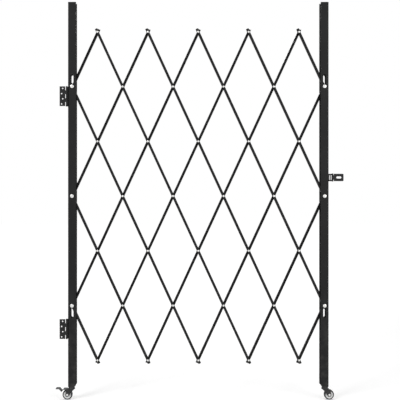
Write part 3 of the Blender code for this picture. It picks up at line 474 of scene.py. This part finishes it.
def dark_metal(name, colour, metallic, roughness):
    """Blackened pressed steel: drawing lines, clouds, and dust near the floor."""
    material, tree, shader = blank(name, metallic=metallic, specular=0.35)
    place = coordinates(tree)
    tone = two_tone(tree, pattern(tree, "steel_clouds", place), colour, STEEL_TONES)
    lines = scratches(tree, "drawn_lines", DRAWN_STRETCH)
    tone = lighten(tree, lines, tone, colour, DRAWN_LINE_MARKS)
    dust = low_dust(tree, place, STEEL_DUST_HEIGHTS)
    tone = cover(tree, dust, tone, *STEEL_DUST)
    rough = gloss(tree, "steel_gloss", place, roughness, STEEL_GLOSS)
    rough = add_share(tree, rough, dust, STEEL_DUST_ROUGHNESS)
    normal = grain_bump(tree, "steel_grain", place)
    normal = bump(tree, lines, DRAWN_LINE_BUMP, normal)
    finish_shader(tree, shader, tone, rough, normal)
    return material


def moulded(name, colour):
    """Pale moulded nylon with a faint flow pattern and a little grime."""
    material, tree, shader = blank(name, metallic=0, specular=0.45)
    shader.inputs["Subsurface Weight"].default_value = NYLON_SUBSURFACE
    shader.inputs["Subsurface Radius"].default_value = NYLON_SCATTER
    shader.inputs["Subsurface Scale"].default_value = 1
    place = coordinates(tree)
    flow = pattern(tree, "nylon_flow", place)
    tone = two_tone(tree, flow, colour, NYLON_TONES)
    low = fade(tree, place, AXIS_Z, HUB_DIRT_HEIGHTS, HUB_DIRT_ABOVE)
    dirt = calculate(tree, "MULTIPLY", pattern(tree, "nylon_grime", place), low)
    tone = cover(tree, dirt, tone, *HUB_DIRT)
    rough = pattern(tree, "nylon_gloss", place, *NYLON_ENDS)
    normal = grain_bump(tree, "nylon_grain", place)
    normal = bump(tree, flow, NYLON_FLOW_BUMP, normal)
    finish_shader(tree, shader, tone, rough, normal)
    return material


def rubber(name, colour):
    """Moulded rubber with a fine grain and floor dust on the tread."""
    material, tree, shader = blank(name, metallic=0, specular=0.3)
    shader.inputs["Sheen Weight"].default_value = RUBBER_SHEEN
    place = coordinates(tree)
    tone = two_tone(tree, pattern(tree, "rubber_clouds", place), colour, RUBBER_TONES)
    scuffs = pattern(tree, "rubber_scuffs", coordinates(tree, TREAD_STRETCH))
    low = fade(tree, place, AXIS_Z, TYRE_DUST_HEIGHTS, TYRE_DUST_ABOVE)
    dust = calculate(tree, "MULTIPLY", scuffs, low)
    tone = cover(tree, dust, tone, *TYRE_DUST)
    rough = pattern(tree, "rubber_gloss", place, *RUBBER_ENDS)
    normal = grain_bump(tree, "rubber_grain", place)
    finish_shader(tree, shader, tone, rough, normal)
    return material


materials = {
    "post_paint": painted("post_powder_coat", (0.0112, 0.0113, 0.0117),
                          specular=0.15, roughness=0.42, is_post=True),
    "bar_paint": painted("bar_powder_coat", (0.0095, 0.0096, 0.0100), specular=0.16, roughness=0.4),
    "hinge_paint": painted("hinge_powder_coat", (0.0125, 0.0126, 0.013), specular=0.2, roughness=0.44),
    "bright_zinc": plated("bright_zinc_plate", (0.73, 0.73, 0.72), roughness=0.3),
    "dark_rivets": dark_metal("dark_rivet_metal", (0.05, 0.05, 0.051), metallic=0.7, roughness=0.38),
    "caster_steel": dark_metal("caster_dark_steel", (0.026, 0.026, 0.027), metallic=0.35, roughness=0.42),
    "hub_plastic": moulded("hub_nylon", (0.92, 0.92, 0.91)),
    "tyre_rubber": rubber("tyre_grey_rubber", (0.019, 0.019, 0.0196)),
}
edge_materials = {
    "post_paint": painted("post_worn_edge", (0.0150, 0.0151, 0.0156),
                          specular=0.2, roughness=0.36, worn=0.02),
    "bar_paint": painted("bar_worn_edge", (0.0125, 0.0126, 0.013),
                         specular=0.2, roughness=0.34, worn=0.02),
    "hinge_paint": painted("hinge_worn_edge", (0.018, 0.0182, 0.019),
                           specular=0.25, roughness=0.36, worn=0.04),
    "caster_steel": dark_metal("caster_worn_edge", (0.06, 0.06, 0.061), metallic=0.6, roughness=0.34),
}


def socket_pair(group):
    """Give a geometry group its input and output."""
    for way in ("INPUT", "OUTPUT"):
        group.interface.new_socket(name="Geometry", in_out=way, socket_type="NodeSocketGeometry")
    return group.nodes.new("NodeGroupInput").outputs[0], group.nodes.new("NodeGroupOutput").inputs[0]


def welding_group():
    """Geometry nodes that join the imported facets into one surface without stored normals."""
    group = bpy.data.node_groups.new("weld_facets", "GeometryNodeTree")
    source, target = socket_pair(group)
    bare = add_node(group, "GeometryNodeRemoveAttribute", None,
                    {"Geometry": source, "Name": "custom_normal"})
    merged = add_node(group, "GeometryNodeMergeByDistance", None,
                      {"Geometry": bare, "Distance": WELD_DISTANCE})
    edges = add_node(group, "GeometryNodeSetShadeSmooth", {"domain": "EDGE"},
                     {"Geometry": merged, "Shade Smooth": True})
    group.links.new(edges, target)
    return group


def smoothing_group():
    """Geometry nodes that shade curved faces smooth and keep sharp edges sharp."""
    group = bpy.data.node_groups.new("smooth_curves", "GeometryNodeTree")
    source, target = socket_pair(group)
    angle = add_node(group, "GeometryNodeInputMeshEdgeAngle")
    sharp = add_node(group, "FunctionNodeCompare", {"operation": "GREATER_THAN"},
                     {0: angle, 1: SMOOTH_ANGLE})
    faces = add_node(group, "GeometryNodeSetShadeSmooth", {"domain": "FACE"},
                     {"Geometry": source, "Shade Smooth": True})
    edges = add_node(group, "GeometryNodeSetShadeSmooth", {"domain": "EDGE"},
                     {"Geometry": faces, "Selection": sharp, "Shade Smooth": False})
    group.links.new(edges, target)
    return group


WELDING = welding_group()
SMOOTHING = smoothing_group()


def round_edges(thing, width, is_cad):
    """Round a piece's sharp edges with modifiers, and give them the worn-edge finish."""
    if is_cad:
        thing.modifiers.new("weld", "NODES").node_group = WELDING
        flat = thing.modifiers.new("join_flats", "DECIMATE")
        flat.decimate_type = "DISSOLVE"
        flat.angle_limit = FLAT_ANGLE
    bevel = thing.modifiers.new("round_edges", "BEVEL")
    bevel.width = width
    bevel.segments = BEVEL_SEGMENTS
    bevel.limit_method = "ANGLE"
    bevel.angle_limit = BEVEL_ANGLE
    bevel.material = len(thing.data.materials) - 1
    thing.modifiers.new("smooth", "NODES").node_group = SMOOTHING
    weighted = thing.modifiers.new("even_normals", "WEIGHTED_NORMAL")
    weighted.keep_sharp = True


def finish_node(node, edge_width):
    """Keep a CAD node's shape: give it its finish and small rounded edges."""
    thing = frame["nodes"][node]
    slot = node_slots[node]
    thing.data.materials.clear()
    thing.data.materials.append(materials[slot])
    if slot in edge_materials:
        thing.data.materials.append(edge_materials[slot])
    round_edges(thing, edge_width, True)


def arc(centre_x, centre_y, radius, start, stop, steps):
    """Points along an arc, with its angles in degrees."""
    points = []
    for step in range(steps + 1):
        angle = math.radians(start + (stop - start) * step / steps)
        points.append((centre_x + radius * math.cos(angle), centre_y + radius * math.sin(angle)))
    return points


def dome(radius, height, base, direction):
    """Half section of a rivet head from crown to rim: a low dome over a short upright brim."""
    points = []
    rise = height - BRIM
    for step in range(DOME_STEPS + 1):
        angle = math.pi / 2 * step / DOME_STEPS
        across = 0 if step == 0 else radius * math.sin(angle)
        points.append((across, base + direction * (BRIM + rise * math.cos(angle))))
    points.append((radius, base))
    return points


def turn(shape, profile, segments, place=Matrix(), ring=False):
    """Turn a profile of (radius, height) points about local Z. A ring's profile closes on itself."""
    loops = []
    for radius, height in profile:
        if radius == 0:
            loops.append([shape.verts.new(place @ Vector((0, 0, height)))])
            continue
        loop = []
        for index in range(segments):
            angle = 2 * math.pi * index / segments
            point = Vector((radius * math.cos(angle), radius * math.sin(angle), height))
            loop.append(shape.verts.new(place @ point))
        loops.append(loop)
    pairs = list(zip(loops, loops[1:]))
    if ring:
        pairs.append((loops[-1], loops[0]))
    for first, second in pairs:
        for index in range(segments):
            after = (index + 1) % segments
            corners = (first[index % len(first)], first[after % len(first)],
                       second[after % len(second)], second[index % len(second)])
            shape.faces.new(dict.fromkeys(corners))


def extrude(shape, outline, low, high, place=Matrix()):
    """Extrude a flat outline along local Z."""
    bottom = [shape.verts.new(place @ Vector((x, y, low))) for x, y in outline]
    top = [shape.verts.new(place @ Vector((x, y, high))) for x, y in outline]
    shape.faces.new(bottom)
    shape.faces.new(top)
    for index in range(len(outline)):
        shape.faces.new((bottom[index - 1], bottom[index], top[index], top[index - 1]))


def add_piece(name, shape, slot, body, nodes):
    """Make a piece that rides on a body and stands for CAD nodes."""
    bmesh.ops.recalc_face_normals(shape, faces=shape.faces)
    mesh = bpy.data.meshes.new(name)
    shape.to_mesh(mesh)
    shape.free()
    mesh.materials.append(materials[slot])
    mesh.shade_smooth()
    mesh.set_sharp_from_angle(angle=SMOOTH_ANGLE)
    thing = bpy.data.objects.new(name, mesh)
    bpy.context.collection.objects.link(thing)
    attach(thing, body)
    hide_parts(*nodes)
    return thing


def front_crossings(number):
    """Columns and levels that a front bar passes, from its top end down."""
    offset = 2 * number - 1 - LEVELS
    return [(column, column - offset) for column in range(COLUMNS + 1) if 0 <= column - offset <= LEVELS]


def channel_outline(width, depth, sheet, bend):
    """Section of a bent channel: its web lies along X at zero and it opens towards +Y."""
    half = width / 2
    points = [(-half, depth)]
    points += arc(bend - half, bend, bend, 180, 270, BEND_STEPS)
    points += arc(half - bend, bend, bend, 270, 360, BEND_STEPS)
    points += [(half, depth), (half - sheet, depth)]
    points += arc(half - bend, bend, bend - sheet, 360, 270, BEND_STEPS)
    points += arc(bend - half, bend, bend - sheet, 270, 180, BEND_STEPS)
    points.append((sheet - half, depth))
    return points


def front_bar(number):
    """A front bar's channel in black paint."""
    crossings = front_crossings(number)
    top = crossing(*crossings[0])
    length = PITCH * (len(crossings) - 1)
    forward = Matrix.Translation((0, -BAR_FACE, 0))
    place = Matrix.Translation(top) @ Matrix.Rotation(-LEAN, 4, "Y") @ forward
    shape = bmesh.new()
    outline = channel_outline(BAR_WIDTH, BAR_DEPTH, BAR_SHEET, BAR_BEND)
    extrude(shape, outline, -length - BAR_OVERHANG, BAR_OVERHANG, place)
    node = f"front_bar_{number}"
    bar = add_piece(f"{node}_channel", shape, "bar_paint", node_bodies[node], [node])
    bar.data.materials.append(edge_materials["bar_paint"])
    round_edges(bar, BAR_EDGE, False)


def dimpled_tail(radius, height, base):
    """Half section of a rivet's formed end, from its rim to a shallow dimple in its middle."""
    points = dome(radius, height, base, 1)[::-1]
    points[-1] = (0, base + height - DIMPLE_DEPTH)
    return points


def front_rivets(number):
    """The bright rivets set in a front bar, one at each crossing between the posts."""
    shape = bmesh.new()
    for column, level in front_crossings(number):
        if column in (0, COLUMNS):
            continue
        profile = dome(RIVET_HEAD_RADIUS, RIVET_HEAD_HEIGHT, -BAR_FACE, -1)
        profile += [(RIVET_RADIUS, -BAR_FACE), (RIVET_RADIUS, BAR_FACE + TOUCH_GAP)]
        profile += dimpled_tail(RIVET_HEAD_RADIUS, RIVET_HEAD_HEIGHT, BAR_FACE + TOUCH_GAP)
        turn(shape, profile, SMALL_SEGMENTS, Matrix.Translation(crossing(column, level)) @ ALONG_Y)
    node = f"front_bar_{number}"
    add_piece(f"{node}_rivets", shape, "bright_zinc", node_bodies[node], [node])


def pivot_front():
    """Half section of a post pivot's head and collar."""
    seat = FLANGE_FACE + TOUCH_GAP
    profile = dome(PIVOT_HEAD_RADIUS, PIVOT_HEAD_HEIGHT, -seat, -1)
    profile += [(COLLAR_RADIUS, -seat), (COLLAR_RADIUS, -BAR_FACE - TOUCH_GAP)]
    profile.append((RIVET_RADIUS, -BAR_FACE - TOUCH_GAP))
    return profile


def slide_pivot(corner, column, level):
    """A stepped rivet at a lattice corner, and its bush behind."""
    place = Matrix.Translation(crossing(column, level)) @ ALONG_Y
    tail = FLANGE_FACE + 2 * TOUCH_GAP + BUSH_FLANGE
    profile = pivot_front() + [(RIVET_RADIUS, tail)]
    profile += dimpled_tail(RIVET_HEAD_RADIUS, RIVET_HEAD_HEIGHT, tail)
    shape = bmesh.new()
    turn(shape, profile, FINE_SEGMENTS, place)
    node = f"{corner}_slide_pivot"
    add_piece(f"{node}_turned", shape, "bright_zinc", node_bodies[node], [node])
    bore = RIVET_RADIUS + TOUCH_GAP
    seat = FLANGE_FACE + TOUCH_GAP
    nose = BAR_FACE + TOUCH_GAP
    profile = [(bore, nose), (COLLAR_RADIUS, nose), (COLLAR_RADIUS, seat), (PIVOT_HEAD_RADIUS, seat)]
    profile += [(PIVOT_HEAD_RADIUS, seat + BUSH_FLANGE - BRIM / 2)]
    profile += [(PIVOT_HEAD_RADIUS - BRIM / 2, seat + BUSH_FLANGE), (bore, seat + BUSH_FLANGE)]
    shape = bmesh.new()
    turn(shape, profile, FINE_SEGMENTS, place, ring=True)
    node = f"{corner}_slide_bush"
    add_piece(f"{node}_turned", shape, "bright_zinc", node_bodies[node], [node])


def middle_pivot(side, column):
    """The fixed stepped rivet at a post's middle."""
    seat = FLANGE_FACE + TOUCH_GAP
    profile = pivot_front() + [(RIVET_RADIUS, seat)]
    profile += dimpled_tail(RIVET_HEAD_RADIUS, RIVET_HEAD_HEIGHT, seat)
    shape = bmesh.new()
    turn(shape, profile, FINE_SEGMENTS, Matrix.Translation(crossing(column, MIDDLE_LEVEL)) @ ALONG_Y)
    node = f"{side}_middle_pivot"
    add_piece(f"{node}_turned", shape, "bright_zinc", node_bodies[node], [node])


def headed_bar(node, axis, radius, head_height, segments):
    """A pin, rivet or axle with a domed head at each end, the size of its CAD node."""
    low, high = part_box(node)
    centre = (low + high) / 2
    half = (high[axis] - low[axis]) / 2
    head_radius = max((high[index] - low[index]) / 2 for index in range(3) if index != axis)
    seat = half - head_height
    profile = dome(head_radius, head_height, -seat, -1) + [(radius, -seat), (radius, seat)]
    profile += dome(head_radius, head_height, seat, 1)[::-1]
    shape = bmesh.new()
    turn(shape, profile, segments, Matrix.Translation(centre) @ LAYS[axis])
    add_piece(f"{node}_turned", shape, node_slots[node], node_bodies[node], [node])


def hub(side):
    """A wheel's moulded hub: boss, web and rim, with filleted steps."""
    node = f"{side}_wheel_hub"
    low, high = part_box(node)
    centre = (low + high) / 2
    half = (high.y - low.y) / 2
    rim = (high.z - low.z) / 2
    bore = AXLE_RADIUS + TOUCH_GAP
    web = HUB_WEB / 2
    inner_rim = rim - HUB_RIM
    round_rim = HUB_FILLET / 2
    profile = [(bore, -half)]
    profile += arc(HUB_BOSS_RADIUS - round_rim, round_rim - half, round_rim, 270, 360, ROUND_STEPS)
    profile += arc(HUB_BOSS_RADIUS + HUB_FILLET, -web - HUB_FILLET, HUB_FILLET, 180, 90, FILLET_STEPS)
    profile += arc(inner_rim - HUB_FILLET, -web - HUB_FILLET, HUB_FILLET, 90, 0, FILLET_STEPS)
    profile += arc(inner_rim + round_rim, round_rim - half, round_rim, 180, 270, ROUND_STEPS)
    profile.append((rim, -half))
    profile += [(radius, -height) for radius, height in profile[::-1]]
    shape = bmesh.new()
    turn(shape, profile, WHEEL_SEGMENTS, Matrix.Translation(centre) @ ALONG_Y, ring=True)
    add_piece(f"{node}_moulded", shape, "hub_plastic", node_bodies[node], [node])


def tyre(side):
    """The rubber tread: round shoulders, a chamfered inner edge and a parting line."""
    node = f"{side}_tyre"
    low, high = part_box(node)
    centre = (low + high) / 2
    half = (high.y - low.y) / 2
    radius = (high.z - low.z) / 2 - PARTING_LINE
    inner = radius + PARTING_LINE - TYRE_DEPTH
    side_wall = radius - TYRE_ROUND
    profile = [(inner, TYRE_CHAMFER - half), (inner + TYRE_CHAMFER, -half)]
    profile += arc(side_wall, TYRE_ROUND - half, TYRE_ROUND, -90, 0, SHOULDER_STEPS)
    profile += [(radius, -PARTING_LINE), (radius + PARTING_LINE, 0)]
    profile += [(across, -height) for across, height in profile[-2::-1]]
    shape = bmesh.new()
    turn(shape, profile, WHEEL_SEGMENTS, Matrix.Translation(centre) @ ALONG_Y, ring=True)
    add_piece(f"{node}_moulded", shape, "tyre_rubber", node_bodies[node], [node])


# Lattice
for bar_number in range(1, BARS + 1):
    front_bar(bar_number)
    front_rivets(bar_number)
    finish_node(f"back_bar_{bar_number}", BAR_EDGE)
for bar_number, corner_name in SLIDING_CORNERS.items():
    ends = [place for place in front_crossings(bar_number) if place[0] in (0, COLUMNS)]
    slide_pivot(corner_name, *ends[0])
middle_pivot("left", 0)
middle_pivot("right", COLUMNS)

# Posts, hinges and hasp
for node_name in ("hinge_post", "lock_post"):
    finish_node(node_name, POST_EDGE)
for node_name in ("upper_wall_leaf", "lower_wall_leaf", "upper_post_leaf", "lower_post_leaf",
                  "hasp_bracket", "hasp_plate"):
    finish_node(node_name, LEAF_EDGE)
for node_name in ("upper_hinge_pin", "lower_hinge_pin", "hasp_pin"):
    headed_bar(node_name, AXIS_Z, PIN_RADIUS, PIN_HEAD_HEIGHT, SMALL_SEGMENTS)
plate_rivets = [name for name in node_slots if "hinge_rivet" in name or "hasp_rivet" in name]
for node_name in plate_rivets:
    headed_bar(node_name, AXIS_X, LEAF_RIVET_RADIUS, LEAF_RIVET_HEAD_HEIGHT, SMALL_SEGMENTS)

# Casters
for side_name in ("left", "right"):
    finish_node(f"{side_name}_foot_plate", STEEL_EDGE)
    finish_node(f"{side_name}_fork", STEEL_EDGE)
    headed_bar(f"{side_name}_kingpin", AXIS_Z, KINGPIN_RADIUS, KINGPIN_HEAD_HEIGHT, SMALL_SEGMENTS)
    headed_bar(f"{side_name}_axle", AXIS_Y, AXLE_RADIUS, AXLE_HEAD_HEIGHT, FINE_SEGMENTS)
    hub(side_name)
    tyre(side_name)
finish_node("brake_pedal", STEEL_EDGE)


def seen_share(tree):
    """One for rays that show the background: from the camera, a mirror or glass."""
    rays = tree.nodes.new("ShaderNodeLightPath").outputs
    share = calculate(tree, "MAXIMUM", rays["Is Camera Ray"], rays["Is Glossy Ray"])
    return calculate(tree, "MAXIMUM", share, rays["Is Transmission Ray"])


def floor():
    """A plain pale floor that keeps the shadow, lifted to white more where the lamps don't reach."""
    shape = bmesh.new()
    half = FLOOR_SIZE / 2
    corners = [(-half, -half), (half, -half), (half, half), (-half, half)]
    shape.faces.new([shape.verts.new((x, y, 0)) for x, y in corners])
    mesh = bpy.data.meshes.new("floor")
    shape.to_mesh(mesh)
    shape.free()
    material = bpy.data.materials.new("pale_floor")
    material.use_nodes = True
    tree = material.node_tree
    shader = tree.nodes["Principled BSDF"]
    shader.inputs["Base Color"].default_value = FLOOR_COLOUR
    shader.inputs["Roughness"].default_value = 1
    shader.inputs["Specular IOR Level"].default_value = 0
    shader.inputs["Emission Color"].default_value = WHITE
    away = add_node(tree, "ShaderNodeVectorMath", {"operation": "DISTANCE"},
                    {0: coordinates(tree), 1: FLOOR_MIDDLE}, "Value")
    lift = levels(tree, away, NEAR_FLOOR, FAR_FLOOR, NEAR_LIFT, FAR_LIFT)
    strength = calculate(tree, "MULTIPLY", seen_share(tree), lift)
    tree.links.new(strength, shader.inputs["Emission Strength"])
    mesh.materials.append(material)
    thing = bpy.data.objects.new("floor", mesh)
    bpy.context.collection.objects.link(thing)


def surroundings():
    """White where it is seen, and a plain soft light on everything else."""
    world = bpy.data.worlds.new("studio")
    bpy.context.scene.world = world
    world.use_nodes = True
    tree = world.node_tree
    background = tree.nodes["Background"]
    background.inputs["Color"].default_value = WHITE
    strength = levels(tree, seen_share(tree), 0, 1, AMBIENT, 1)
    tree.links.new(strength, background.inputs["Strength"])


def lamp(name, place, size, power):
    """One soft square lamp aimed at the gate's middle."""
    light = bpy.data.lights.new(name, "AREA")
    light.size = size
    light.energy = power
    thing = bpy.data.objects.new(name, light)
    thing.location = place
    thing.rotation_euler = (Vector(GATE_MIDDLE) - Vector(place)).to_track_quat("-Z", "Y").to_euler()
    bpy.context.collection.objects.link(thing)


floor()
surroundings()
for lamp_name, settings in LAMPS.items():
    lamp(lamp_name, *settings)

camera = bpy.data.objects.new("camera", bpy.data.cameras.new("camera"))
bpy.context.collection.objects.link(camera)
camera.data.sensor_width = SENSOR_WIDTH
camera.data.lens = LENS
camera.data.shift_x = CAMERA_SHIFT
camera.location = CAMERA_PLACE
camera.rotation_euler = (math.radians(90), 0, 0)
bpy.context.scene.camera = camera
bpy.context.scene.view_settings.view_transform = "Standard"
